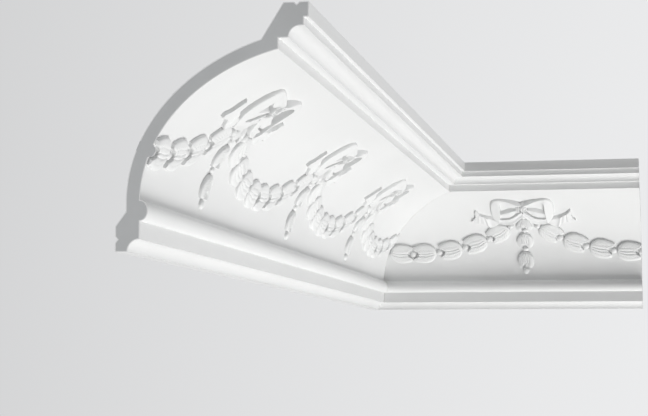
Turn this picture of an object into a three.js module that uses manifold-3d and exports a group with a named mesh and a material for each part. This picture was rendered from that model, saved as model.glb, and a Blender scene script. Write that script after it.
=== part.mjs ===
// A coved cornice with a garland in relief: two lengths mitred to each other at an inner corner.
// Millimetres, +Z up. The long length runs along the left wall, the short one along the back wall.
// A length is worked out in a frame of its own, with X along the wall away from the corner,
// Y from the room back to the wall, whose plane is Y = 0, and Z up to the ceiling, whose plane is Z = 0.
import * as THREE from "three";
import { mergeVertices } from "three/addons/utils/BufferGeometryUtils.js";
import Module from "manifold-3d";

// Overall sizes
const HEIGHT = 200;
const PROJECTION = 160;
const LEFT_LENGTH = 1160;
const RIGHT_LENGTH = 400;
const MITRE_GAP = 0.3;

// The mouldings below the ceiling, from the outer edge inwards
const FASCIA = 12.5;
const FASCIA_SETBACK = 4;
const FILLET = 7;
const FILLET_SOFFIT = 3.1;
const UPPER_CAVETTO = 9.5;
const LISTEL_SOFFIT = 8.4;
const LISTEL = 9;

// The mouldings at the wall, from the bottom edge upwards
const FOOT_LIP = 10.5;
const LOWER_CAVETTO = 10.2;
const BAND = 14.8;
const BEAD_MOULD = 17;
const BEAD_MOULD_REACH = 6.7;

// The cove is a stretch of an ellipse, upright at its foot, and the shell behind it has one thickness
const COVE_HALF_WIDTH = 164.5;
const SHELL = 12;

// The faces that are glued to the wall and the ceiling, each with a groove for the glue
const GLUE_FACE = 21;
const GROOVE_FROM_EDGE = 10;
const GROOVE_WIDTH = 5;
const GROOVE_DEPTH = 2.2;
const WALL_CHAMFER_RISE = 11.6;
const CEILING_CHAMFER_RUN = 18.3;

// The garland, across from the bow's middle and up along the cove from its foot
const REPEAT = 1000 / 3;
const SWAG_START = [19.2, 88];
const SWAG_FALL = [48, 60];
const SWAG_FLATTEN = [100, 41];
const SWAG_LOW = 41;
const BUDS_IN_HALF_SWAG = 4;
const BUD_WIDTH = 30;
const BUD_HEIGHT = 6;
const BEAD_RADIUS = 4.8;

// The pendant under the bow: a husk and two buds, each with a bead at its mouth
const PENDANT_TOP = 101;
const HUSK = { length: 21, width: 23.5 };
const PENDANT_BUD = { length: 27, width: 24 };
const PENDANT_BEAD_RADIUS = 4.4;
const END_BEAD_RADIUS = 5;
const END_BEAD_DROP = 3;
const STEM_WIDTH = 3;
const STEM_HEIGHT = 2.2;

// A bud is an egg with its round end towards the bow and an open mouth round the next bead
const BUD_WIDEST_AT = 0.48;
const PENDANT_BUD_WIDEST_AT = 0.62;
const HUSK_WIDEST_AT = 0.85;
const BUD_MOUTH_WIDTH = 0.84;
const BUD_MOUTH_DEPTH = 0.2;
const BUD_RIM = 0.35;
const BUD_SHOULDER = 0.3;

// The bow's knot and the small bead below it
const KNOT = { across: 1.2, up: 129.5, halfWidth: 7.8, halfHeight: 10.8, rise: 7.6 };
const BOW_FOOT_BEAD = { across: 0, up: 104, radius: 3.2 };

// The right half of the bow's ribbon, each line a smooth curve through points of across, up and rise
const BOW_PANELS = [
  {
    // the ribbon seen inside the loop
    lower: [[7, 119, 2.6], [14, 110, 2.6], [22, 105.4, 2.6], [33, 104.8, 2.5]],
    middle: [[7.9, 123.5, 4.4], [15, 120, 4.4], [22, 116, 4.2], [33, 112.6, 3.8]],
    upper: [[8, 127, 0.5], [16, 125.5, 0.4], [24, 122, 0.4], [33, 117.5, 0.4]],
    steps: 3,
  },
  {
    // the ribbon back along the bottom of the loop
    lower: [[-1.5, 110.4, 3.6], [3.5, 104.8, 3.8], [9, 97.9, 3.8], [16, 93.2, 3.7], [36, 92.6, 2.8]],
    middle: [[0, 114.8, 4.3], [5.8, 109, 4.4], [11.5, 102.8, 4.3], [18, 98.6, 4], [35, 98, 3.1]],
    upper: [[2, 121, 4], [8, 114.3, 4], [14, 108.2, 3.9], [20, 104.7, 3.8], [36, 103.4, 3]],
    steps: 5,
  },
  {
    // the ribbon along the top of the loop
    lower: [[3, 133, 3.8], [10, 130.6, 3.8], [17, 131.4, 3.5], [24, 137.4, 3], [32, 145.4, 2.4]],
    middle: [[1.5, 137.4, 6.1], [8.5, 138.6, 6.4], [14.7, 141.2, 5.7], [22, 145, 4.3], [34.5, 148, 2.6]],
    upper: [[-1.5, 135.5, 4.8], [5.5, 141.5, 6], [12.5, 145.6, 5.3], [21, 148.4, 3.6], [36.5, 149.9, 1.6]],
    steps: 5,
  },
  {
    // the fold at the outer side of the loop
    lower: [[36.5, 92.4, 2.8], [42, 100.5, 3.4], [46, 118, 3.6], [45.6, 137, 3.1], [36.5, 150, 1.4]],
    middle: [[35, 94, 4.2], [37.6, 102.2, 5], [39, 119, 5.3], [38.6, 136, 4.9], [34.5, 147, 2.9]],
    upper: [[33, 93.6, 3.4], [33.6, 103.6, 4.4], [32, 121, 4.7], [31.4, 137, 4.2], [30.2, 146.6, 2.4]],
    steps: 6,
  },
  {
    // the tail, with its swallow-tail end
    lower: [[35, 93, 2.3], [45, 86.7, 2.6], [52, 88.2, 2.6], [61, 95.7, 2.5], [75.2, 95.8, 2.2]],
    middle: [[38, 98.5, 3.3], [47, 98.6, 3.7], [54, 102.8, 3.7], [60.5, 107, 3.5], [70, 109.5, 2.6]],
    upper: [[37, 103.4, 0.6], [46, 106.4, 0.6], [56, 110.2, 0.7], [62.3, 113.9, 0.9], [67.6, 121.8, 1.6]],
    steps: 5,
  },
];

// How finely the curves are stepped, and how deep a raised form is rooted in the cove
const COVE_STEPS = 10;
const SMALL_STEPS = 4;
const BEAD_MOULD_STEPS = 8;
const BUD_ALONG = [0, 0.1, 0.4, 1];
const BUD_ACROSS = [-1, -0.6, 0.6, 1];
const RIBBON_ACROSS = [-1, 0, 1];
const BEAD_SIDES = 6;
const BEAD_RINGS = 4;
const ROOT_DEPTH = 1.5;
const OVERCUT = 60;
const MERGE_TOLERANCE = 1e-3;

// Sizes worked out from those above, with out measured from the wall and up from the ceiling
const bandOut = FOOT_LIP + LOWER_CAVETTO;
const coveFootUp = -HEIGHT + LOWER_CAVETTO + BAND + BEAD_MOULD;
const filletOut = PROJECTION - FASCIA_SETBACK;
const cavettoOut = filletOut - FILLET_SOFFIT;
const cavettoTopUp = -FASCIA - FILLET;
const listelUp = cavettoTopUp - UPPER_CAVETTO;
const coveHeadOut = cavettoOut - UPPER_CAVETTO - LISTEL_SOFFIT;
const coveHeadUp = listelUp - LISTEL;
const coveCentreOut = bandOut + COVE_HALF_WIDTH;
const coveHeadShare = (coveCentreOut - coveHeadOut) / COVE_HALF_WIDTH;
const coveHalfHeight = (coveHeadUp - coveFootUp) / Math.sqrt(1 - coveHeadShare ** 2);
const coveHeadAngle = Math.PI - Math.acos(coveHeadShare);

const wasm = await Module();
wasm.setup();

// The cove's curve from its foot to its head
const cove = new THREE.EllipseCurve(
  coveCentreOut,
  coveFootUp,
  COVE_HALF_WIDTH,
  coveHalfHeight,
  Math.PI,
  coveHeadAngle,
  true,
);
const coveLength = cove.getLength();

// A point raised off the cove, across from a place on the run and up the cove's curve
function onCove(across, up, rise) {
  const share = THREE.MathUtils.clamp(up / coveLength, 0, 1);
  const foot = cove.getPointAt(share);
  const along = cove.getTangentAt(share);
  return new THREE.Vector3(across, -foot.x - rise * along.y, foot.y - rise * along.x);
}

// A closed geometry as a solid that can be joined and cut
function solidOf(geometry) {
  const plain = geometry.clone();
  plain.deleteAttribute("normal");
  plain.deleteAttribute("uv");
  const merged = mergeVertices(plain, MERGE_TOLERANCE);
  return new wasm.Manifold(
    new wasm.Mesh({
      numProp: 3,
      vertProperties: merged.attributes.position.array,
      triVerts: new Uint32Array(merged.index.array),
    }),
  );
}

// The points of a stretch of an ellipse about a centre, clockwise where the angle falls
function arc(centreOut, centreUp, radiusOut, radiusUp, from, to, steps) {
  const curve = new THREE.EllipseCurve(
    centreOut,
    centreUp,
    radiusOut,
    radiusUp,
    from,
    to,
    to < from,
  );
  return curve.getPoints(steps);
}

// The glue groove: three points about its middle, along the face and into the material
function groove(middle, along, inwards) {
  return [-1, 0, 1].map((side) =>
    middle
      .clone()
      .addScaledVector(along, (side * GROOVE_WIDTH) / 2)
      .addScaledVector(inwards, side === 0 ? GROOVE_DEPTH : 0),
  );
}

// The outline of the moulding's section, out from the wall and up from the ceiling
function section() {
  const point = (out, up) => new THREE.Vector2(out, up);
  const backFootOut = bandOut - SHELL;
  const backHeadOut = PROJECTION - GLUE_FACE - CEILING_CHAMFER_RUN;
  const backHalfWidth = COVE_HALF_WIDTH + SHELL;
  const backHeadShare = (coveCentreOut - backHeadOut) / backHalfWidth;
  const backHeadAngle = Math.PI - Math.acos(backHeadShare);
  const wallFaceTop = -HEIGHT + GLUE_FACE;
  return [
    point(PROJECTION, 0),
    point(PROJECTION, -FASCIA),
    point(filletOut, -FASCIA),
    point(filletOut, cavettoTopUp),
    ...arc(
      cavettoOut,
      listelUp,
      UPPER_CAVETTO,
      UPPER_CAVETTO,
      Math.PI / 2,
      Math.PI,
      SMALL_STEPS,
    ),
    point(coveHeadOut, listelUp),
    ...cove.getPoints(COVE_STEPS).reverse(),
    ...arc(
      bandOut,
      coveFootUp - BEAD_MOULD / 2,
      BEAD_MOULD_REACH,
      BEAD_MOULD / 2,
      Math.PI / 2,
      -Math.PI / 2,
      BEAD_MOULD_STEPS,
    ).slice(1),
    ...arc(
      bandOut,
      -HEIGHT,
      LOWER_CAVETTO,
      LOWER_CAVETTO,
      Math.PI / 2,
      Math.PI,
      SMALL_STEPS,
    ),
    point(0, -HEIGHT),
    ...groove(point(0, -HEIGHT + GROOVE_FROM_EDGE), point(0, 1), point(1, 0)),
    point(0, wallFaceTop),
    point(backFootOut, wallFaceTop + WALL_CHAMFER_RISE),
    ...arc(
      coveCentreOut,
      coveFootUp,
      backHalfWidth,
      coveHalfHeight + SHELL,
      Math.PI,
      backHeadAngle,
      COVE_STEPS,
    ),
    point(PROJECTION - GLUE_FACE, 0),
    ...groove(point(PROJECTION - GROOVE_FROM_EDGE, 0), point(1, 0), point(0, -1)),
  ];
}

// The plain moulding, too long at both ends
function plainMoulding(length) {
  const shape = new THREE.Shape(section().map((p) => new THREE.Vector2(-p.x, p.y)));
  const geometry = new THREE.ExtrudeGeometry(shape, {
    depth: length + 2 * OVERCUT,
    bevelEnabled: false,
  });
  geometry.translate(0, 0, -OVERCUT);
  const alongX = new THREE.Matrix4().makeBasis(
    new THREE.Vector3(0, 1, 0),
    new THREE.Vector3(0, 0, 1),
    new THREE.Vector3(1, 0, 0),
  );
  return solidOf(geometry.applyMatrix4(alongX));
}

// What is kept of a length: up to its square end, and clear of the mitre by half the gap
function keptSpace(length) {
  const mitre = MITRE_GAP / Math.SQRT2;
  const reach = PROJECTION + OVERCUT;
  const plan = new THREE.Shape([
    new THREE.Vector2(-OVERCUT + mitre, OVERCUT),
    new THREE.Vector2(reach + mitre, -reach),
    new THREE.Vector2(length, -reach),
    new THREE.Vector2(length, OVERCUT),
  ]);
  const geometry = new THREE.ExtrudeGeometry(plan, {
    depth: HEIGHT + 2 * OVERCUT,
    bevelEnabled: false,
  });
  return solidOf(geometry.translate(0, 0, -HEIGHT - OVERCUT));
}

// A raised panel on the cove, closed below the surface, from the place and the rise of its grid points
function panel(place, rise, alongSteps, overSteps, middle, side) {
  const rows = alongSteps.length;
  const columns = overSteps.length;
  const positions = [];
  for (const level of ["top", "root"]) {
    for (const along of alongSteps) {
      for (const over of overSteps) {
        const [across, up] = place(along, over);
        const height = level === "top" ? rise(along, over) : -ROOT_DEPTH;
        positions.push(...onCove(middle + side * across, up, height).toArray());
      }
    }
  }
  const index = [];
  const root = rows * columns;
  const quad = (a, b, c, d) => index.push(a, b, c, a, c, d);
  const wall = (a, b) => quad(a, a + root, b + root, b);
  for (let i = 0; i < rows - 1; i++) {
    for (let j = 0; j < columns - 1; j++) {
      const a = i * columns + j;
      const b = a + columns;
      quad(a, b, b + 1, a + 1);
      quad(root + a + 1, root + b + 1, root + b, root + a);
    }
  }
  for (let i = 0; i < rows - 1; i++) {
    wall(i * columns, (i + 1) * columns);
    wall((i + 2) * columns - 1, (i + 1) * columns - 1);
  }
  for (let j = 0; j < columns - 1; j++) {
    wall(j + 1, j);
    wall((rows - 1) * columns + j, (rows - 1) * columns + j + 1);
  }
  const geometry = new THREE.BufferGeometry();
  geometry.setAttribute("position", new THREE.Float32BufferAttribute(positions, 3));
  geometry.setIndex(index);
  return solidOf(cleaned(geometry, side));
}

// The same faces without those that have shrunk to a line, turned round where the side mirrors them
function cleaned(geometry, side) {
  const merged = mergeVertices(geometry, MERGE_TOLERANCE);
  const old = merged.index.array;
  const kept = [];
  for (let i = 0; i < old.length; i += 3) {
    const [a, b, c] = [old[i], old[i + 1], old[i + 2]];
    if (a !== b && b !== c && c !== a) kept.push(...(side > 0 ? [a, b, c] : [a, c, b]));
  }
  merged.setIndex(kept);
  return merged;
}

// A rounded boss: an ellipsoid half in the cove
function boss(across, up, halfWidth, halfHeight, rise) {
  const geometry = new THREE.SphereGeometry(1, BEAD_SIDES, BEAD_RINGS);
  const position = geometry.attributes.position;
  for (let i = 0; i < position.count; i++) {
    const p = onCove(
      across + halfWidth * position.getX(i),
      up + halfHeight * position.getY(i),
      rise * position.getZ(i),
    );
    position.setXYZ(i, p.x, p.y, p.z);
  }
  return solidOf(geometry);
}

const bead = (across, up, radius) => boss(across, up, radius, radius, radius);

// A bud from its round end at start, along a direction, with its mouth open at the far end
function bud(start, direction, length, width, widest, middle, side) {
  const ahead = new THREE.Vector2(...direction).normalize();
  const halfWidth = (along) => {
    const round = Math.sqrt(1 - Math.max(0, (widest - along) / widest) ** 2);
    const taper = Math.max(0, (along - widest) / (1 - widest)) ** 2;
    return (width / 2) * round * (1 - (1 - BUD_MOUTH_WIDTH) * taper);
  };
  const place = (along, over) => {
    const forward = along * length * (1 - BUD_MOUTH_DEPTH * (1 - over ** 2));
    const sideways = over * halfWidth(along);
    return [
      start[0] + forward * ahead.x - sideways * ahead.y,
      start[1] + forward * ahead.y + sideways * ahead.x,
    ];
  };
  const rise = (along, over) => {
    const swell = Math.sqrt(1 - (1 - Math.min(1, along / BUD_SHOULDER)) ** 2);
    const crown = BUD_RIM + (1 - BUD_RIM) * Math.sqrt(1 - over ** 4) * swell;
    return BUD_HEIGHT * crown;
  };
  return panel(place, rise, BUD_ALONG, BUD_ACROSS, middle, side);
}

// Half a swag, from beside the bow to the middle of the swag, without the bead in the middle
function halfSwag(middle, side) {
  const line = new THREE.CubicBezierCurve(
    new THREE.Vector2(...SWAG_START),
    new THREE.Vector2(...SWAG_FALL),
    new THREE.Vector2(...SWAG_FLATTEN),
    new THREE.Vector2(REPEAT / 2, SWAG_LOW),
  );
  const pieces = [];
  for (let k = 0; k < BUDS_IN_HALF_SWAG; k++) {
    const from = line.getPointAt(k / BUDS_IN_HALF_SWAG);
    const to = line.getPointAt((k + 1) / BUDS_IN_HALF_SWAG);
    const ahead = to.clone().sub(from);
    const start = from.clone().addScaledVector(ahead, BEAD_RADIUS / ahead.length());
    const length = ahead.length() - BEAD_RADIUS;
    pieces.push(bead(middle + side * from.x, from.y, BEAD_RADIUS));
    const place = [start.toArray(), ahead.toArray(), length, BUD_WIDTH, BUD_WIDEST_AT];
    pieces.push(bud(...place, middle, side));
  }
  return pieces;
}

// The pendant below the bow
function pendant(middle) {
  const down = [0, -1];
  const pieces = [];
  const husk = { ...HUSK, widest: HUSK_WIDEST_AT };
  const lowerBud = { ...PENDANT_BUD, widest: PENDANT_BUD_WIDEST_AT };
  let mouth = PENDANT_TOP;
  for (const { length, width, widest } of [husk, lowerBud, lowerBud]) {
    if (mouth < PENDANT_TOP) {
      pieces.push(bead(middle, mouth - PENDANT_BEAD_RADIUS / 3, PENDANT_BEAD_RADIUS));
      mouth -= PENDANT_BEAD_RADIUS;
    }
    pieces.push(bud([0, mouth], down, length, width, widest, middle, 1));
    mouth -= length;
  }
  const endBead = mouth - END_BEAD_DROP;
  const stem = (along, over) => [
    (over * STEM_WIDTH) / 2,
    THREE.MathUtils.lerp(endBead, endBead + 2 * END_BEAD_RADIUS, along),
  ];
  const stemRise = () => STEM_HEIGHT;
  pieces.push(panel(stem, stemRise, [0, 1], [1, -1], middle, 1));
  pieces.push(bead(middle, endBead, END_BEAD_RADIUS));
  return pieces;
}

// The bow: both its halves, its knot and the small bead below the knot
function bow(middle) {
  const curve = (points) => new THREE.CatmullRomCurve3(points.map((p) => new THREE.Vector3(...p)));
  const pieces = [];
  for (const panelShape of BOW_PANELS) {
    const edges = [panelShape.lower, panelShape.middle, panelShape.upper].map(curve);
    const at = (along, over) => edges[over + 1].getPoint(along);
    const place = (along, over) => at(along, over).toArray().slice(0, 2);
    const rise = (along, over) => at(along, over).z;
    const along = Array.from({ length: panelShape.steps + 1 }, (_, k) => k / panelShape.steps);
    for (const side of [1, -1]) {
      pieces.push(panel(place, rise, along, RIBBON_ACROSS, middle, side));
    }
  }
  pieces.push(
    boss(middle + KNOT.across, KNOT.up, KNOT.halfWidth, KNOT.halfHeight, KNOT.rise),
  );
  pieces.push(bead(middle + BOW_FOOT_BEAD.across, BOW_FOOT_BEAD.up, BOW_FOOT_BEAD.radius));
  return pieces;
}

// All that is raised on the cove of one length, from its square end towards the corner
function garland(length) {
  const pieces = [];
  let middle = length - REPEAT / 2;
  while (middle > REPEAT / 4) {
    const swagMiddle = middle + REPEAT / 2;
    pieces.push(...bow(middle), ...pendant(middle));
    pieces.push(...halfSwag(middle, 1), ...halfSwag(middle, -1));
    pieces.push(bead(swagMiddle, SWAG_LOW, BEAD_RADIUS));
    middle -= REPEAT;
  }
  pieces.push(bead(middle + REPEAT / 2, SWAG_LOW, BEAD_RADIUS));
  pieces.push(...halfSwag(middle, 1));
  return pieces;
}

// One length, cut at both ends
function lengthGeometry(length) {
  let solid = plainMoulding(length);
  for (const piece of garland(length)) solid = solid.add(piece);
  const mesh = solid.intersect(keptSpace(length)).getMesh();
  const geometry = new THREE.BufferGeometry();
  geometry.setAttribute("position", new THREE.BufferAttribute(mesh.vertProperties, 3));
  geometry.setIndex(new THREE.BufferAttribute(mesh.triVerts, 1));
  geometry.computeVertexNormals();
  return geometry;
}

function namedMesh(name, geometry) {
  const primedWhite = new THREE.MeshStandardMaterial({
    color: 0xf2f2f0,
    roughness: 0.55,
    metalness: 0,
  });
  const mesh = new THREE.Mesh(geometry, primedWhite);
  mesh.name = name;
  return mesh;
}

// The short length lies as it was worked out, and the long one is its mirror image on the left wall
const rightLength = namedMesh("right_length", lengthGeometry(RIGHT_LENGTH));
const leftLength = namedMesh("left_length", lengthGeometry(LEFT_LENGTH));
leftLength.scale.x = -1;
leftLength.rotation.z = Math.PI / 2;

// The origin lies on the long length's ceiling face, halfway along it, between its inner edge and the groove
const originOut = PROJECTION - (GLUE_FACE + GROOVE_FROM_EDGE + GROOVE_WIDTH / 2) / 2;
const cornice = new THREE.Group();
cornice.add(leftLength, rightLength);
cornice.position.set(-originOut, LEFT_LENGTH / 2, 0);

export default cornice;
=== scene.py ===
"""The looks of a coved cornice with a garland in relief, two lengths mitred at an inner corner.

Sizes are in millimetres until a mesh is made, and the studio and the camera are in metres.
A length is worked out with X along the wall away from the corner, Y from the room back to
the wall and Z up to the ceiling. The left length is then mirrored and turned into its place.
"""

import math

import bmesh
import bpy
import numpy as np
from mathutils import Matrix, Vector


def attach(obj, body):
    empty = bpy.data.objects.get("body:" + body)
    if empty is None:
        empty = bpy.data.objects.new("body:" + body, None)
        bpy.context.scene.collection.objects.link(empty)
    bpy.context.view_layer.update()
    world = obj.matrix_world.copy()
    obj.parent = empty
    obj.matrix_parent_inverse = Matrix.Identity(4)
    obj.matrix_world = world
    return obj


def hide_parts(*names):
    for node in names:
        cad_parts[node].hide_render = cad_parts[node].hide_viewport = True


MM = 0.001

# The moulding's section, as in the part's source
HEIGHT = 200
PROJECTION = 160
LEFT_LENGTH = 1160
RIGHT_LENGTH = 400
MITRE_GAP = 0.3
FASCIA = 12.5
FASCIA_SETBACK = 4
FILLET = 7
FILLET_SOFFIT = 3.1
UPPER_CAVETTO = 9.5
LISTEL_SOFFIT = 8.4
LISTEL = 9
FOOT_LIP = 10.5
LOWER_CAVETTO = 10.2
BAND = 14.8
BEAD_MOULD = 17
BEAD_MOULD_REACH = 6.7
COVE_HALF_WIDTH = 164.5
SHELL = 12
GLUE_FACE = 21
GROOVE_FROM_EDGE = 10
GROOVE_WIDTH = 5
GROOVE_DEPTH = 2.2
WALL_CHAMFER_RISE = 11.6
CEILING_CHAMFER_RUN = 18.3

# How finely the section is stepped
COVE_STEPS = 96
BACK_STEPS = 40
SMALL_STEPS = 14
BEAD_MOULD_STEPS = 24
CURVE_SAMPLES = 2000

# The finishes, in the order of a length's materials
PRIMED = 0
FOAM = 1
BACK = 2

# The swag: control points of half its line as across and up, from the bow to the lowest place
REPEAT = 1000 / 3
SWAG = [(19.2, 88), (48, 60), (100, 41), (REPEAT / 2, 41)]
SWAG_SAMPLES = 400
BUDS_IN_HALF_SWAG = 4

# A bead: its rise is a share of its radius, and a greater fullness makes its top flatter
BEAD_RADIUS = 4.8
BEAD_RISE = 0.8
FIRST_BEAD_RISE = 1.15
BEAD_FULLNESS = 2.3

# A bud: width, height, end gap and bite are sizes, fullness is a power and the rest are shares
BUD_WIDTH = 30
BUD_HEIGHT = 5.6
BUD_END_GAP = 0.5
MOUTH_BITE = 6.0
BUD_FULLNESS = 2.5
BUD_WIDEST = 0.48
BUD_SHOULDER = 0.3
BUD_LIP = 0.07
BUD_RIM = 0.35
CARVED_RIM = 0.7
MOUTH_WIDTH = 0.74
MOUTH_SHARE = 0.56
MOUTH_SLOPE = 0.05
BUD_ALONG = np.concatenate([[0, 0.004, 0.014, 0.03, 0.055], np.linspace(0.085, 1, 31)])
BUD_OVER = np.concatenate([[-1, -0.985, -0.955], np.linspace(-0.91, 0.91, 31), [0.955, 0.985, 1]])

# The long folds of a bud, each as its place over the bud, its depth and its width
LONG_FOLDS = [(-0.56, 0.5, 0.05), (-0.2, 1.1, 0.06), (0.1, 1.1, 0.06), (0.48, 0.5, 0.05)]
PENDANT_FOLDS = [(-0.4, 0.9, 0.06), (-0.14, 1.4, 0.065), (0.14, 1.4, 0.065), (0.4, 0.9, 0.06)]
FOLD_WANDER = 0.04
FOLD_LEAN = 0.05
CARVED_FROM = 0.04
CARVED_FADE = 0.15

# The fine slanting veins of a bud
VEINS = 8
FIRST_VEIN = 0.08
VEIN_STEP = 0.12
VEIN_SLANT = 0.16
VEIN_OFFSET = 0.03
VEIN_DEPTH = 0.6
VEIN_WIDTH = 0.022
VEINED_FROM = 0.16
VEINED_TO = 0.92
VEINED_INNER_FADE = 0.1
VEINED_OUTER_FADE = 0.15

# The pendant: gap is kept free above a bud's round end, and shorter is taken off its length
PENDANT_TOP = 101
HUSK = {"length": 21, "width": 23.5, "gap": 0, "shorter": 1, "widest": 0.85, "foot": 0.25}
PENDANT_BUD = {"length": 27, "width": 24, "gap": 0.8, "shorter": 2.6, "widest": 0.62, "foot": 1}
PENDANT_POINT = 1.3
FOOT_SLOPE = 0.6
PENDANT_BEAD_RADIUS = 4.4
PENDANT_BEAD_SQUASH = 0.85
END_BEAD_RADIUS = 5
END_BEAD_DROP = 0.6
STEM_WIDTH = 3
STEM_HEIGHT = 2.2
STEM_EDGE = 0.4
STEM_ROWS = 8
STEM_COLUMNS = 7

# The ribbons of half a bow, whose other half mirrors it. A rail is a list of across, up and rise,
# and the rails of a ribbon run side by side from its lower to its upper edge.
INNER_RIBBON = [
    [(7, 119, 2.4), (14, 110, 2.4), (22, 105.6, 2.4), (33, 105, 2.4)],
    [(7.2, 119.6, 3.6), (14.3, 111, 3.6), (22, 106.8, 3.6), (33, 106, 3.4)],
    [(7.6, 121.6, 4.6), (14.8, 116, 4.6), (22, 112, 4.5), (33, 110, 4.2)],
    [(8, 124.4, 5.4), (15, 121.2, 5.4), (22.4, 117.6, 5.2), (33, 114.2, 4.8)],
    [(8.1, 125.6, 4.6), (15.2, 122.8, 4.6), (22.8, 119.2, 4.4), (33, 115.6, 4)],
    [(8.2, 127, 0.6), (16, 125.2, 0.5), (24, 121.8, 0.5), (33, 117.4, 0.5)],
]
LOWER_RIBBON = [
    [(-1.5, 110.4, 2.4), (3.5, 104.8, 2.4), (9, 97.9, 2.4),
     (16, 93.2, 2.4), (26, 91.3, 2.2), (35, 93, 1.8)],
    [(-1.3, 111.2, 4.6), (3.9, 105.5, 4.7), (9.4, 98.7, 4.7),
     (16.3, 94, 4.6), (26, 92.1, 4.2), (35, 93.8, 3.2)],
    [(-1, 112.4, 5), (4.6, 106.8, 5.1), (10.1, 100, 5.1),
     (16.7, 95.4, 4.9), (26.1, 93.6, 4.4), (35, 95, 3.4)],
    [(0, 115, 4), (5.9, 109.3, 4.1), (11.6, 103.2, 4.1),
     (18, 99, 3.8), (26.6, 97.6, 3.3), (35, 98, 2.8)],
    [(1.7, 119.4, 5.2), (7.6, 113.2, 5.2), (13.6, 107.2, 5),
     (19.7, 103.6, 4.7), (27.9, 102.2, 4.2), (35, 102.2, 3.6)],
    [(2, 120.5, 3), (8, 114, 3), (14, 108, 3),
     (20, 104.4, 2.8), (28, 103, 2.6), (36, 103, 2.4)],
]
TAIL = [
    [(35, 93, 2), (45, 86.7, 2.2), (51, 87.6, 2.2),
     (60, 95.2, 2.2), (68, 94.6, 2.1), (73.8, 95, 2)],
    [(35.4, 93.8, 3.2), (45.2, 87.5, 3.8), (51.2, 88.5, 3.8),
     (60, 96, 3.6), (68, 95.4, 3.6), (74.8, 96, 3.4)],
    [(36.4, 95.6, 3.6), (46, 91, 4.2), (52.4, 93.4, 4.2),
     (60.2, 99.2, 4), (67.4, 99.6, 3.9), (75, 99.6, 3.6)],
    [(37.2, 97.4, 3.8), (46.6, 95, 4.3), (53.6, 99, 4.3),
     (60.5, 103.4, 4.1), (66.2, 105, 3.8), (69.8, 105.4, 3.4)],
    [(38, 99.9, 4), (47.2, 101.6, 4.4), (54.5, 106.4, 4.4),
     (60.5, 110.2, 4.3), (65.3, 113.6, 4), (68.4, 117.4, 3.6)],
    [(37.6, 101.3, 3.4), (46.6, 103.4, 3.6), (55.2, 108, 3.6),
     (61.6, 111.9, 3.5), (65, 115.8, 3.4), (68, 120.4, 3.2)],
    [(37, 103.4, 0.5), (46, 106.2, 0.5), (56, 110, 0.6),
     (62.3, 113.7, 0.8), (65, 117.5, 1), (67.4, 121.6, 1.4)],
]

# The loop's band: for each station its outer and its inner edge, and the rises at LOOP_OVER between
LOOP_OVER = [0, 0.05, 0.14, 0.5, 0.88, 0.96, 1]
LOOP = [
    ((-1.5, 135.5), (3, 133), [1.4, 4.4, 5.2, 4.6, 4.2, 3.8, 2.4]),
    ((5.5, 142.2), (10, 130.6), [1.4, 6.0, 7.3, 5.6, 5.0, 4.5, 2.8]),
    ((12.5, 146), (17, 131.4), [1.2, 5.2, 6.5, 5.5, 5.1, 4.5, 2.8]),
    ((21, 148.7), (24, 137), [0.9, 3.8, 4.9, 4.7, 4.4, 4.0, 2.4]),
    ((30, 150.2), (29.3, 141.2), [0.8, 2.8, 3.7, 4.4, 5.0, 4.5, 2.2]),
    ((37, 149.4), (31, 140.4), [0.9, 2.6, 3.5, 4.8, 5.8, 5.3, 1.6]),
    ((42, 145), (31.2, 138.6), [1.4, 3.0, 4.0, 5.4, 6.5, 6.0, 1.2]),
    ((44.6, 136), (31.2, 133.6), [1.9, 3.8, 4.6, 5.8, 7.0, 6.4, 1.0]),
    ((45.2, 124), (31.4, 124), [2.2, 4.2, 4.9, 6.0, 7.2, 6.6, 1.0]),
    ((44.6, 112), (32, 113), [2.2, 4.2, 4.9, 6.0, 7.2, 6.6, 1.0]),
    ((41.2, 103), (33, 104.6), [2.0, 4.0, 4.8, 5.8, 6.8, 6.2, 2.0]),
    ((37.6, 96.8), (34.2, 98.6), [1.8, 3.8, 4.8, 5.4, 5.8, 5.4, 2.4]),
    ((35, 93), (34.4, 93.8), [1.6, 3.2, 4.0, 4.4, 4.4, 4.0, 2.0]),
]

# The tail's cross folds: where along it, how high and how wide
TAIL_FOLDS = [
    (0.2, -0.9, 0.09),
    (0.36, 0.9, 0.04),
    (0.45, -0.5, 0.03),
    (0.53, 0.3, 0.03),
    (0.64, -0.6, 0.025),
    (0.7, 0.5, 0.04),
]

# The faint waves of the other ribbons: how high, and how fast along the ribbon and over it
WAVES = [(0.16, 11, 4), (0.08, 27, -5)]
FOLD_EDGE = 0.25
LEAST_RISE = 0.25

# The knot with its coil, the strands on its side towards the corner and the bead under it
KNOT = {"across": 2.0, "up": 131.8, "half_width": 6.6, "half_height": 9.8, "rise": 9.8}
KNOT_FULLNESS = 3.2
COIL_TURNS = 1.8
COIL_DEPTH = 3.4
COIL_WIDTH = 0.24
COIL_EYE = 0.2
COIL_REACH = 1.02
COIL_FADE = 0.15
STRANDS_AWAY = (7.4, 5.2)
STRAND = [
    [(1.0, 119, 3), (1.9, 129, 4), (0.3, 139, 4)],
    [(0, 119, 5.4), (0.8, 129, 6.8), (-0.7, 139, 6.6)],
    [(-1.0, 119, 3), (-0.2, 129, 4), (-1.6, 139, 4)],
]
BOW_BEAD_UP = 104
BOW_BEAD_RADIUS = 3.2

# How the meshes are rooted, cut, welded and smoothed
ROOT_DEPTH = 1.5
OVERCUT = 60
SKIN = 0.8
END_STEP = 0.02
CUT_TOLERANCE_M = 1e-7
WELD_M = 2e-6
SMOOTH_ANGLE = math.radians(42)

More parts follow.
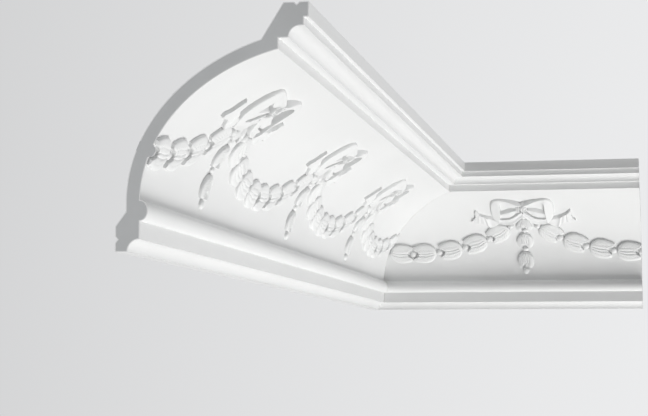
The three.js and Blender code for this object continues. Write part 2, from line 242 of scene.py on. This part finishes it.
# The photograph's camera, from a fit of the mouldings' edges, in metres, radians and pixels
CAMERA_PLACE = (0.29607, -1.81543, -0.29878)
CAMERA_YAW = math.radians(-12.1555)
CAMERA_PITCH = math.radians(5.9423)
CAMERA_ROLL = math.radians(0.2442)
FOCAL_PX = 1608.73
WIDTH_PX = 648

# The studio, in metres: what the lights aim at, and where they stand from it
FLOOR_REACH = 60
FLOOR_UP = -9.5
CORNER = Vector((0.0, 0.3, -0.1))
CUT_END = Vector((-0.07, -0.58, -0.1))
TO_KEY = 3 * Vector((0.42, -0.18, -0.89)).normalized()
TO_FILL = 6 * Vector((0.95, -0.15, -0.28)).normalized()
TO_END_LIGHT = 3 * Vector((-0.75, -0.66, 0))

# The sky's strength rises from DIM_SKY to PALE_SKY as a direction turns towards PALE_SIDE
PALE_SIDE = (0.4, 0.8, 0)
DIM_SKY = 0.24
PALE_SKY = 0.85

# Places and ratios that follow from the sizes
band_out = FOOT_LIP + LOWER_CAVETTO
cove_foot_up = -HEIGHT + LOWER_CAVETTO + BAND + BEAD_MOULD
fillet_out = PROJECTION - FASCIA_SETBACK
cavetto_out = fillet_out - FILLET_SOFFIT
cavetto_top_up = -FASCIA - FILLET
listel_up = cavetto_top_up - UPPER_CAVETTO
cove_head_out = cavetto_out - UPPER_CAVETTO - LISTEL_SOFFIT
cove_head_up = listel_up - LISTEL
cove_centre_out = band_out + COVE_HALF_WIDTH
cove_head_share = (cove_centre_out - cove_head_out) / COVE_HALF_WIDTH
cove_half_height = (cove_head_up - cove_foot_up) / math.sqrt(1 - cove_head_share**2)
origin_out = PROJECTION - (GLUE_FACE + GROOVE_FROM_EDGE + GROOVE_WIDTH / 2) / 2

# The cove's curve from its foot to its head, by length along it
cove_angles = np.linspace(0, math.acos(cove_head_share), CURVE_SAMPLES + 1)
cove_out = cove_centre_out - COVE_HALF_WIDTH * np.cos(cove_angles)
cove_up = cove_foot_up + cove_half_height * np.sin(cove_angles)
cove_lengths = np.concatenate([[0], np.cumsum(np.hypot(np.diff(cove_out), np.diff(cove_up)))])


def on_cove(across, up, rise):
    """Points raised off the cove, across along the run and up the cove's curve."""
    angle = np.interp(up, cove_lengths, cove_angles)
    out = np.interp(up, cove_lengths, cove_out)
    high = np.interp(up, cove_lengths, cove_up)
    along_out = COVE_HALF_WIDTH * np.sin(angle)
    along_up = cove_half_height * np.cos(angle)
    size = np.hypot(along_out, along_up)
    x = np.broadcast_to(across, out.shape)
    return np.stack([x, -out - rise * along_up / size, high - rise * along_out / size], -1)


def arc(centre, radii, start, end, steps):
    """Points along a stretch of an ellipse, from one angle in degrees to another."""
    turn = np.radians(np.linspace(start, end, steps + 1))
    return [(centre[0] + radii[0] * math.cos(a), centre[1] + radii[1] * math.sin(a)) for a in turn]


def section_front():
    """The section's shown side as points of out and up, from the ceiling down to the wall."""
    along = np.linspace(cove_lengths[-1], 0, COVE_STEPS + 1)
    outs = np.interp(along, cove_lengths, cove_out)
    ups = np.interp(along, cove_lengths, cove_up)
    upper = (UPPER_CAVETTO, UPPER_CAVETTO)
    lower = (LOWER_CAVETTO, LOWER_CAVETTO)
    bead_centre = (band_out, cove_foot_up - BEAD_MOULD / 2)
    bead_radii = (BEAD_MOULD_REACH, BEAD_MOULD / 2)
    return [
        (PROJECTION, 0),
        (PROJECTION, -FASCIA),
        (fillet_out, -FASCIA),
        (fillet_out, cavetto_top_up),
        *arc((cavetto_out, listel_up), upper, 90, 180, SMALL_STEPS),
        (cove_head_out, listel_up),
        *zip(outs, ups),
        *arc(bead_centre, bead_radii, 90, -90, BEAD_MOULD_STEPS)[1:],
        *arc((band_out, -HEIGHT), lower, 90, 180, SMALL_STEPS),
        (0, -HEIGHT),
    ]


def section_back():
    """The section's hidden side as points of out and up, from the wall up to the ceiling."""
    head_out = PROJECTION - GLUE_FACE - CEILING_CHAMFER_RUN
    head = 180 - math.degrees(math.acos((cove_centre_out - head_out) / (COVE_HALF_WIDTH + SHELL)))
    back_radii = (COVE_HALF_WIDTH + SHELL, cove_half_height + SHELL)
    wall_groove = -HEIGHT + GROOVE_FROM_EDGE
    ceiling_groove = PROJECTION - GROOVE_FROM_EDGE
    half = GROOVE_WIDTH / 2
    return [
        (0, wall_groove - half),
        (GROOVE_DEPTH, wall_groove),
        (0, wall_groove + half),
        (0, -HEIGHT + GLUE_FACE),
        (band_out - SHELL, -HEIGHT + GLUE_FACE + WALL_CHAMFER_RISE),
        *arc((cove_centre_out, cove_foot_up), back_radii, 180, head, BACK_STEPS),
        (PROJECTION - GLUE_FACE, 0),
        (ceiling_groove - half, 0),
        (ceiling_groove, -GROOVE_DEPTH),
        (ceiling_groove + half, 0),
    ]


def curve(points, count):
    """Points along a smooth curve through the given ones, evenly by share of the spans."""
    p = np.array(points, float)
    p = np.vstack([2 * p[0] - p[1], p, 2 * p[-1] - p[-2]])
    at = np.linspace(0, len(points) - 1, count)
    k = np.minimum(at.astype(int), len(points) - 2)
    t = (at - k)[:, None]
    a, b, c, d = p[k], p[k + 1], p[k + 2], p[k + 3]
    return 0.5 * (2 * b + (c - a) * t + (2 * a - 5 * b + 4 * c - d) * t**2 + (3 * b - a - 3 * c + d) * t**3)


def ramp(value, width):
    """0 up to the value 0, then rising to 1 over a width."""
    return np.clip(value / width, 0, 1)


def valley(distance, width):
    """A soft groove: 1 in its middle and almost 0 two widths away."""
    return np.exp(-((distance / width) ** 2))


class Relief:
    """Closed raised shells gathered for one length."""

    def __init__(self):
        self.points, self.faces, self.count = [], [], 0

    def patch(self, across, up, rise, side=1):
        """A shell over a grid of places on the cove, rooted below the surface."""
        rows, cols = across.shape
        top = on_cove(across.ravel(), up.ravel(), rise.ravel())
        root = on_cove(across.ravel(), up.ravel(), np.full(across.size, -ROOT_DEPTH))
        ring = list(range(cols)) + [r * cols + cols - 1 for r in range(1, rows)]
        ring += [(rows - 1) * cols + c for c in range(cols - 2, -1, -1)]
        ring += [r * cols for r in range(rows - 2, 0, -1)]
        base = self.count
        self.points.append(np.vstack([top, root[ring]]))
        self.count += len(top) + len(ring)
        grid = np.arange(rows * cols).reshape(rows, cols) + base
        corners = [grid[:-1, :-1], grid[1:, :-1], grid[1:, 1:], grid[:-1, 1:]]
        faces = [list(q) for q in np.stack(corners, -1).reshape(-1, 4)]
        foot = [base + rows * cols + i for i in range(len(ring))]
        lip = [base + i for i in ring]
        for i in range(len(ring)):
            j = (i + 1) % len(ring)
            faces.append([lip[i], lip[j], foot[j], foot[i]])
        faces.append(foot)
        self.faces += faces if side > 0 else [f[::-1] for f in faces]

    def dome(self, across, up, half_width, half_height, rise, fullness, shape=None, rings=7, sides=20):
        """A rounded boss on an oval foot. shape lowers or raises the surface by radius and turn."""
        radius = np.sin(np.linspace(0, math.pi / 2, rings + 1))[1:]
        turn = np.linspace(0, 2 * math.pi, sides, endpoint=False)
        r, a = np.meshgrid(radius, turn, indexing="ij")
        high = rise * np.sqrt(np.maximum(0, 1 - r**fullness))
        middle = rise
        if shape is not None:
            high = high + shape(r, a)
            middle = rise + float(shape(np.array(0.0), np.array(0.0)))
        x = across + half_width * r * np.cos(a)
        y = up + half_height * r * np.sin(a)
        base = self.count
        crown = on_cove(np.array([across]), np.array([up]), np.array([middle]))
        top = on_cove(x.ravel(), y.ravel(), high.ravel())
        foot = on_cove(x[-1], y[-1], np.full(sides, -ROOT_DEPTH))
        self.points.append(np.vstack([crown, top, foot]))
        self.count += 1 + len(top) + sides
        at = lambda ring, i: base + 1 + ring * sides + i % sides
        for i in range(sides):
            self.faces.append([base, at(0, i), at(0, i + 1)])
            for ring in range(rings):
                self.faces.append([at(ring, i), at(ring + 1, i), at(ring + 1, i + 1), at(ring, i + 1)])
        self.faces.append([at(rings, i) for i in range(sides)][::-1])

    def bead(self, across, up, radius, squash=1.0, rise=BEAD_RISE):
        """A round bead. squash makes it lower on the cove's curve than it is wide."""
        self.dome(across, up, radius, radius * squash, radius * rise, BEAD_FULLNESS)

    def mesh(self, name):
        """All the shells as one mesh, in metres."""
        mesh = bpy.data.meshes.new(name)
        mesh.from_pydata((np.vstack(self.points) * MM).tolist(), [], self.faces)
        return mesh


def bud_carving(along, over, folds):
    """How deep the long folds and the fine slanting veins of a bud are cut, in mm."""
    side = np.abs(over)
    wander = FOLD_WANDER * np.sin(9 * along + 2 * over)
    deep = 0 * over
    for place, depth, width in folds:
        deep = deep + depth * valley(over - place - wander + FOLD_LEAN * along, width)
    veined = ramp(side - VEINED_FROM, VEINED_INNER_FADE) * ramp(VEINED_TO - side, VEINED_OUTER_FADE)
    for k in range(VEINS):
        line = FIRST_VEIN + VEIN_STEP * k + VEIN_SLANT * (side - 0.4) + VEIN_OFFSET * np.sign(over)
        deep = deep + VEIN_DEPTH * valley(along - line, VEIN_WIDTH) * veined
    return deep * ramp(along - CARVED_FROM, CARVED_FADE)


def bud(relief, start, direction, length, width, middle, side,
        widest=BUD_WIDEST, point=1.0, foot=1.0, folds=LONG_FOLDS):
    """A bud from its round end at start, with a round bite out of its mouth at the far end."""
    ahead = np.array(direction, float)
    ahead /= np.hypot(*ahead)
    along, over = np.meshgrid(BUD_ALONG, BUD_OVER, indexing="ij")
    round_end = np.sqrt(np.maximum(0, 1 - (np.maximum(0, widest - along) / widest) ** 2)) ** point
    taper = (np.maximum(0, along - widest) / (1 - widest)) ** 2
    half = width / 2 * round_end * (1 - (1 - MOUTH_WIDTH) * taper)
    bite = MOUTH_BITE / length * np.sqrt(np.maximum(0, 1 - (over / MOUTH_SHARE) ** 2))
    bite = bite + MOUTH_SLOPE * (1 - np.abs(over))
    forward = along * length * (1 - bite)
    sideways = over * half
    across = start[0] + forward * ahead[0] - sideways * ahead[1]
    up = start[1] + forward * ahead[1] + sideways * ahead[0]
    swell = np.sqrt(np.maximum(0, 1 - (1 - np.minimum(1, along / BUD_SHOULDER)) ** 2))
    lip = np.sqrt(1 - (np.maximum(0, along - 1 + BUD_LIP) / BUD_LIP) ** 2 / 2)
    crown = np.sqrt(np.maximum(0, 1 - np.abs(over) ** BUD_FULLNESS)) * swell * lip
    high = BUD_HEIGHT * (BUD_RIM + (1 - BUD_RIM) * crown)
    high = np.maximum(high - bud_carving(along, over, folds), BUD_HEIGHT * BUD_RIM * CARVED_RIM)
    high = high * (foot + (1 - foot) * np.minimum(1, along / FOOT_SLOPE))
    relief.patch(middle + side * across, up, high, side)


def swag_point(share):
    """A place on the line of half a swag."""
    p = [np.array(q, float) for q in SWAG]
    s = 1 - share
    return s**3 * p[0] + 3 * s**2 * share * p[1] + 3 * s * share**2 * p[2] + share**3 * p[3]


def swag_places():
    """The places of the beads on half a swag, at equal distances."""
    line = np.array([swag_point(t) for t in np.linspace(0, 1, SWAG_SAMPLES)])
    lengths = np.concatenate([[0], np.cumsum(np.hypot(*np.diff(line, axis=0).T))])
    at = np.linspace(0, lengths[-1], BUDS_IN_HALF_SWAG + 1)
    return np.stack([np.interp(at, lengths, line[:, 0]), np.interp(at, lengths, line[:, 1])], -1)


def half_swag(relief, middle, side):
    """The buds and beads from a bow to the lowest place of the swag beside it."""
    places = swag_places()
    for k, (a, b) in enumerate(zip(places[:-1], places[1:])):
        ahead = b - a
        reach = float(np.hypot(*ahead))
        start = a + ahead * BEAD_RADIUS / reach
        bud(relief, start, ahead, reach - BEAD_RADIUS - BUD_END_GAP, BUD_WIDTH, middle, side)
        rise = FIRST_BEAD_RISE if k == 0 else BEAD_RISE
        relief.bead(middle + side * a[0], a[1], BEAD_RADIUS, rise=rise)


def stem(relief, middle, end):
    """The short stem that carries the pendant's end bead."""
    rows = np.linspace(0, 1, STEM_ROWS)
    along, over = np.meshgrid(rows, np.linspace(-1, 1, STEM_COLUMNS), indexing="ij")
    rise = STEM_HEIGHT * (STEM_EDGE + (1 - STEM_EDGE) * np.sqrt(1 - over**2))
    relief.patch(middle - over * STEM_WIDTH / 2, end + 2 * END_BEAD_RADIUS * along, rise)


def pendant(relief, middle):
    """A husk and two buds under a bow, with beads between them and one at the end."""
    top = PENDANT_TOP
    for k, shape in enumerate([HUSK, PENDANT_BUD, PENDANT_BUD]):
        start = (0, top - shape["gap"])
        reach = shape["length"] - shape["shorter"]
        bud(relief, start, (0, -1), reach, shape["width"], middle, 1,
            shape["widest"], PENDANT_POINT, shape["foot"], PENDANT_FOLDS)
        mouth = top - shape["length"]
        if k < 2:
            bead_up = mouth - PENDANT_BEAD_RADIUS / 3
            relief.bead(middle, bead_up, PENDANT_BEAD_RADIUS, PENDANT_BEAD_SQUASH)
        top = mouth - PENDANT_BEAD_RADIUS
    end = mouth - END_BEAD_RADIUS * END_BEAD_DROP
    stem(relief, middle, end)
    relief.bead(middle, end, END_BEAD_RADIUS)


def ribbon(relief, rails, middle, side, along_count=34, between=5, folds=None):
    """A band of ribbon over its rails, smooth along them and between them."""
    lines = np.stack([curve(rail, along_count) for rail in rails])
    over = np.linspace(0, len(rails) - 1, (len(rails) - 1) * between + 1)
    k = np.minimum(over.astype(int), len(rails) - 2)
    t = (over - k)[:, None, None]
    padded = np.concatenate([lines[:1], lines, lines[-1:]])
    a, b, c, d = padded[k], padded[k + 1], padded[k + 2], padded[k + 3]
    m0, m1 = (c - a) / 2, (d - b) / 2
    grid = (2 * t**3 - 3 * t**2 + 1) * b + (t**3 - 2 * t**2 + t) * m0
    grid = grid + (-2 * t**3 + 3 * t**2) * c + (t**3 - t**2) * m1
    grid = np.swapaxes(grid, 0, 1)
    share = np.linspace(0, 1, along_count)[:, None]
    place = (over / (len(rails) - 1))[None, :]
    rise = np.maximum(grid[..., 2], LEAST_RISE)
    if folds is not None:
        rise = rise + folds(share, place) * ramp(place, FOLD_EDGE) * ramp(1 - place, FOLD_EDGE)
    relief.patch(middle + side * grid[..., 0], grid[..., 1], np.maximum(rise, LEAST_RISE), side)


def loop_rails():
    """The rails of the loop, from its outer to its inner edge."""
    rails = []
    for j, over in enumerate(LOOP_OVER):
        rails.append([(o[0] + over * (i[0] - o[0]), o[1] + over * (i[1] - o[1]), r[j]) for o, i, r in LOOP])
    return rails


def tail_folds(share, place):
    """The cross folds of the tail."""
    rise = 0 * (share + place)
    for at, high, width in TAIL_FOLDS:
        rise = rise + high * valley(share - at, width)
    return rise


def soft_folds(share, place):
    """The faint waves along a band of ribbon."""
    return sum(high * np.sin(along * share + over * place) for high, along, over in WAVES)


def coil(radius, turn):
    """The coil cut into the knot."""
    winding = radius * COIL_TURNS - turn / (2 * math.pi)
    away = np.abs(winding - np.round(winding))
    shown = ramp(radius, COIL_EYE) * ramp(COIL_REACH - radius, COIL_FADE)
    return -COIL_DEPTH * valley(away, COIL_WIDTH) * shown


def bow(relief, middle):
    """The two halves of a bow, its knot, the strands beside the knot and the bead under it."""
    for side in (1, -1):
        ribbon(relief, INNER_RIBBON, middle, side, folds=soft_folds)
        ribbon(relief, LOWER_RIBBON, middle, side, folds=soft_folds)
        ribbon(relief, loop_rails(), middle, side, along_count=85, between=4, folds=soft_folds)
        ribbon(relief, TAIL, middle, side, along_count=44, folds=tail_folds)
    relief.dome(middle + KNOT["across"], KNOT["up"], KNOT["half_width"], KNOT["half_height"],
                KNOT["rise"], KNOT_FULLNESS, coil, rings=20, sides=44)
    for away in STRANDS_AWAY:
        rails = [[(away + x, up, rise) for x, up, rise in rail] for rail in STRAND]
        ribbon(relief, rails, middle, -1, along_count=16)
    relief.bead(middle, BOW_BEAD_UP, BOW_BEAD_RADIUS)


def garland(length):
    """All that is raised on the cove of one length, from its square end towards the corner."""
    relief = Relief()
    low = SWAG[-1][1]
    middle = length - REPEAT / 2
    while middle > REPEAT / 4:
        bow(relief, middle)
        pendant(relief, middle)
        half_swag(relief, middle, 1)
        half_swag(relief, middle, -1)
        relief.bead(middle + REPEAT / 2, low, BEAD_RADIUS)
        middle -= REPEAT
    relief.bead(middle + REPEAT / 2, low, BEAD_RADIUS)
    half_swag(relief, middle, 1)
    return relief


def cut(bm, place, normal):
    """Takes away what lies in front of a plane and closes the cut. Returns the new faces."""
    parts = bm.verts[:] + bm.edges[:] + bm.faces[:]
    made = bmesh.ops.bisect_plane(
        bm, geom=parts, dist=CUT_TOLERANCE_M, plane_co=place, plane_no=normal, clear_outer=True)
    rim = [g for g in made["geom_cut"] if isinstance(g, bmesh.types.BMEdge)]
    return bmesh.ops.edgenet_fill(bm, edges=rim)["faces"]


def under_bead(point):
    """Whether a point of a square end lies where the swag's middle bead stands on the cove."""
    near = np.argmin(np.hypot(cove_out + point.y, cove_up - point.z))
    return abs(cove_lengths[near] - SWAG[-1][1]) < BEAD_RADIUS


def moulding(length, square, mitre):
    """The plain moulding of one length, with a skin of paint round the foam of its square end."""
    front, back = section_front(), section_back()
    outline = front + back
    finishes = [PRIMED] * (len(front) - 1) + [BACK] * (len(back) + 1)
    bm = bmesh.new()
    ends = (-OVERCUT, length + OVERCUT)
    rings = [[bm.verts.new((x * MM, -out * MM, up * MM)) for out, up in outline] for x in ends]
    for i in range(len(outline)):
        j = (i + 1) % len(outline)
        face = bm.faces.new([rings[0][i], rings[1][i], rings[1][j], rings[0][j]])
        face.material_index = finishes[i]
    end = cut(bm, square, Vector((1, 0, 0)))
    cut(bm, mitre, Vector((-1, -1, 0)))
    end = [f for f in end if f.is_valid]
    skin = bmesh.ops.inset_region(bm, faces=end, thickness=SKIN * MM, use_even_offset=True)["faces"]
    for f in end:
        f.material_index = FOAM
    for f in skin:
        f.material_index = FOAM if under_bead(f.calc_center_median() / MM) else PRIMED
    return bm


def raised_mesh(name, length, square, mitre):
    """The relief of one length, cut a hair short of the moulding's ends."""
    relief = garland(length).mesh(name + "_relief")
    bm = bmesh.new()
    bm.from_mesh(relief)
    bpy.data.meshes.remove(relief)
    bmesh.ops.remove_doubles(bm, verts=bm.verts[:], dist=WELD_M)
    step = Vector((END_STEP * MM, 0, 0))
    for f in cut(bm, square - step, Vector((1, 0, 0))):
        f.material_index = FOAM
    cut(bm, mitre + step, Vector((-1, -1, 0)))
    bmesh.ops.recalc_face_normals(bm, faces=bm.faces[:])
    mesh = bpy.data.meshes.new(name + "_raised")
    bm.to_mesh(mesh)
    bm.free()
    return mesh


def length_object(name, length, materials):
    """One length of the cornice, with its relief, cut square and to the mitre."""
    square = Vector((length * MM, 0, 0))
    mitre = Vector((MITRE_GAP / math.sqrt(2) * MM, 0, 0))
    bm = moulding(length, square, mitre)
    raised = raised_mesh(name, length, square, mitre)
    bm.from_mesh(raised)
    bpy.data.meshes.remove(raised)
    bmesh.ops.recalc_face_normals(bm, faces=bm.faces[:])
    mesh = bpy.data.meshes.new(name)
    bm.to_mesh(mesh)
    bm.free()
    for material in materials:
        mesh.materials.append(material)
    mesh.shade_smooth()
    mesh.set_sharp_from_angle(angle=SMOOTH_ANGLE)
    obj = bpy.data.objects.new(name, mesh)
    bpy.context.scene.collection.objects.link(obj)
    return obj


def paint(name, color, roughness, grain, bump, scale):
    """A matt paint with a faint cloud in its colour and a fine grain in its surface."""
    material = bpy.data.materials.new(name)
    material.use_nodes = True
    nodes, links = material.node_tree.nodes, material.node_tree.links
    shader = nodes["Principled BSDF"]
    shader.inputs["Specular IOR Level"].default_value = 0.4
    place = nodes.new("ShaderNodeTexCoord")
    cloud = nodes.new("ShaderNodeTexNoise")
    cloud.inputs["Scale"].default_value = 9
    cloud.inputs["Detail"].default_value = 5
    tint = nodes.new("ShaderNodeValToRGB")
    tint.color_ramp.elements[0].position = 0.3
    tint.color_ramp.elements[1].position = 0.7
    tint.color_ramp.elements[0].color = (*[c * (1 - grain) for c in color], 1)
    tint.color_ramp.elements[1].color = (*color, 1)
    links.new(place.outputs["Object"], cloud.inputs["Vector"])
    links.new(cloud.outputs["Fac"], tint.inputs["Fac"])
    links.new(tint.outputs["Color"], shader.inputs["Base Color"])
    gloss = nodes.new("ShaderNodeMapRange")
    gloss.inputs["To Min"].default_value = roughness - 0.06
    gloss.inputs["To Max"].default_value = roughness + 0.06
    links.new(cloud.outputs["Fac"], gloss.inputs["Value"])
    links.new(gloss.outputs["Result"], shader.inputs["Roughness"])
    fine = nodes.new("ShaderNodeTexNoise")
    fine.inputs["Scale"].default_value = scale
    fine.inputs["Detail"].default_value = 4
    relief = nodes.new("ShaderNodeBump")
    relief.inputs["Strength"].default_value = bump
    relief.inputs["Distance"].default_value = 0.0004
    links.new(place.outputs["Object"], fine.inputs["Vector"])
    links.new(fine.outputs["Fac"], relief.inputs["Height"])
    links.new(relief.outputs["Normal"], shader.inputs["Normal"])
    return material


def lay_floor():
    """A wide pale floor, far below the lights."""
    mesh = bpy.data.meshes.new("floor")
    corners = [(x * FLOOR_REACH, y * FLOOR_REACH, FLOOR_UP) for x, y in [(-1, -1), (1, -1), (1, 1), (-1, 1)]]
    mesh.from_pydata(corners, [], [(0, 1, 2, 3)])
    grey = paint("pale_floor", (0.8, 0.8, 0.8), roughness=0.8, grain=0.02, bump=0.1, scale=40)
    mesh.materials.append(grey)
    floor = bpy.data.objects.new("floor", mesh)
    bpy.context.scene.collection.objects.link(floor)


def light_world():
    """A soft sky, paler behind the short length and to the right."""
    world = bpy.data.worlds.new("studio")
    world.use_nodes = True
    nodes, links = world.node_tree.nodes, world.node_tree.links
    background = nodes["Background"]
    background.inputs["Color"].default_value = (0.985, 0.99, 1, 1)
    direction = nodes.new("ShaderNodeTexCoord")
    facing = nodes.new("ShaderNodeVectorMath")
    facing.operation = "DOT_PRODUCT"
    facing.inputs[1].default_value = PALE_SIDE
    paler = nodes.new("ShaderNodeMapRange")
    paler.inputs["From Min"].default_value = 0
    paler.inputs["From Max"].default_value = 0.8
    paler.inputs["To Min"].default_value = DIM_SKY
    paler.inputs["To Max"].default_value = PALE_SKY
    links.new(direction.outputs["Generated"], facing.inputs[0])
    links.new(facing.outputs["Value"], paler.inputs["Value"])
    links.new(paler.outputs["Result"], background.inputs["Strength"])
    bpy.context.scene.world = world


def area_light(name, place, aim, size, power, color):
    """A round area light that the camera doesn't see."""
    light = bpy.data.lights.new(name, "AREA")
    light.shape = "DISK"
    light.size = size
    light.energy = power
    light.color = color
    obj = bpy.data.objects.new(name, light)
    obj.location = place
    obj.rotation_mode = "QUATERNION"
    obj.rotation_quaternion = (Vector(aim) - Vector(place)).to_track_quat("-Z", "Y")
    obj.visible_camera = False
    bpy.context.scene.collection.objects.link(obj)


def set_camera():
    """The camera of the photograph."""
    yaw, pitch, roll = CAMERA_YAW, CAMERA_PITCH, CAMERA_ROLL
    forward = Vector((math.sin(yaw) * math.cos(pitch), math.cos(yaw) * math.cos(pitch), math.sin(pitch)))
    level_right = Vector((math.cos(yaw), -math.sin(yaw), 0))
    level_up = level_right.cross(forward)
    right = math.cos(roll) * level_right + math.sin(roll) * level_up
    up = -math.sin(roll) * level_right + math.cos(roll) * level_up
    data = bpy.data.cameras.new("camera")
    data.sensor_width = 36
    data.lens = FOCAL_PX * data.sensor_width / WIDTH_PX
    data.clip_start = 0.05
    data.clip_end = 100
    obj = bpy.data.objects.new("camera", data)
    turn = Matrix((right, up, -forward)).transposed().to_4x4()
    obj.matrix_world = Matrix.Translation(CAMERA_PLACE) @ turn
    bpy.context.scene.collection.objects.link(obj)
    bpy.context.scene.camera = obj


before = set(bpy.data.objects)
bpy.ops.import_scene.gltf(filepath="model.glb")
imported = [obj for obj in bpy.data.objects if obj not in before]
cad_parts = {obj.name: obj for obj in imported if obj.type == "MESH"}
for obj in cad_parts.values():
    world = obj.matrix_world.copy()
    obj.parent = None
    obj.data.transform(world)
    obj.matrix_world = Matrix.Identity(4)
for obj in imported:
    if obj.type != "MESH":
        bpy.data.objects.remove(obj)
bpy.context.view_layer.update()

materials = [
    paint("primed_white", (0.74, 0.745, 0.745), roughness=0.5, grain=0.02, bump=0.10, scale=900),
    paint("cut_foam", (0.55, 0.56, 0.565), roughness=0.85, grain=0.18, bump=0.5, scale=1500),
    paint("cast_back", (0.74, 0.735, 0.70), roughness=0.7, grain=0.08, bump=0.35, scale=400),
]
shift = Matrix.Translation((-origin_out * MM, LEFT_LENGTH / 2 * MM, 0))
turned = Matrix.Rotation(math.pi / 2, 4, "Z") @ Matrix.Diagonal((-1, 1, 1, 1))
for name, length, place in (
    ("left_length", LEFT_LENGTH, shift @ turned),
    ("right_length", RIGHT_LENGTH, shift),
):
    piece = length_object(name + "_cast", length, materials)
    piece.data.transform(place)
    if place.determinant() < 0:
        piece.data.flip_normals()
    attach(piece, "root")
    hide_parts(name)
    print(name, "triangles", sum(len(p.vertices) - 2 for p in piece.data.polygons))

lay_floor()
light_world()
area_light("key", CORNER + TO_KEY, CORNER, size=1.6, power=84, color=(1, 0.995, 0.98))
area_light("fill", CORNER + TO_FILL, CORNER, size=2.4, power=40, color=(1, 1, 1))
area_light("end", CUT_END + TO_END_LIGHT, CUT_END, size=0.5, power=60, color=(1, 1, 1))
bpy.context.scene.view_settings.view_transform = "Standard"
bpy.context.scene.view_settings.look = "None"
set_camera()
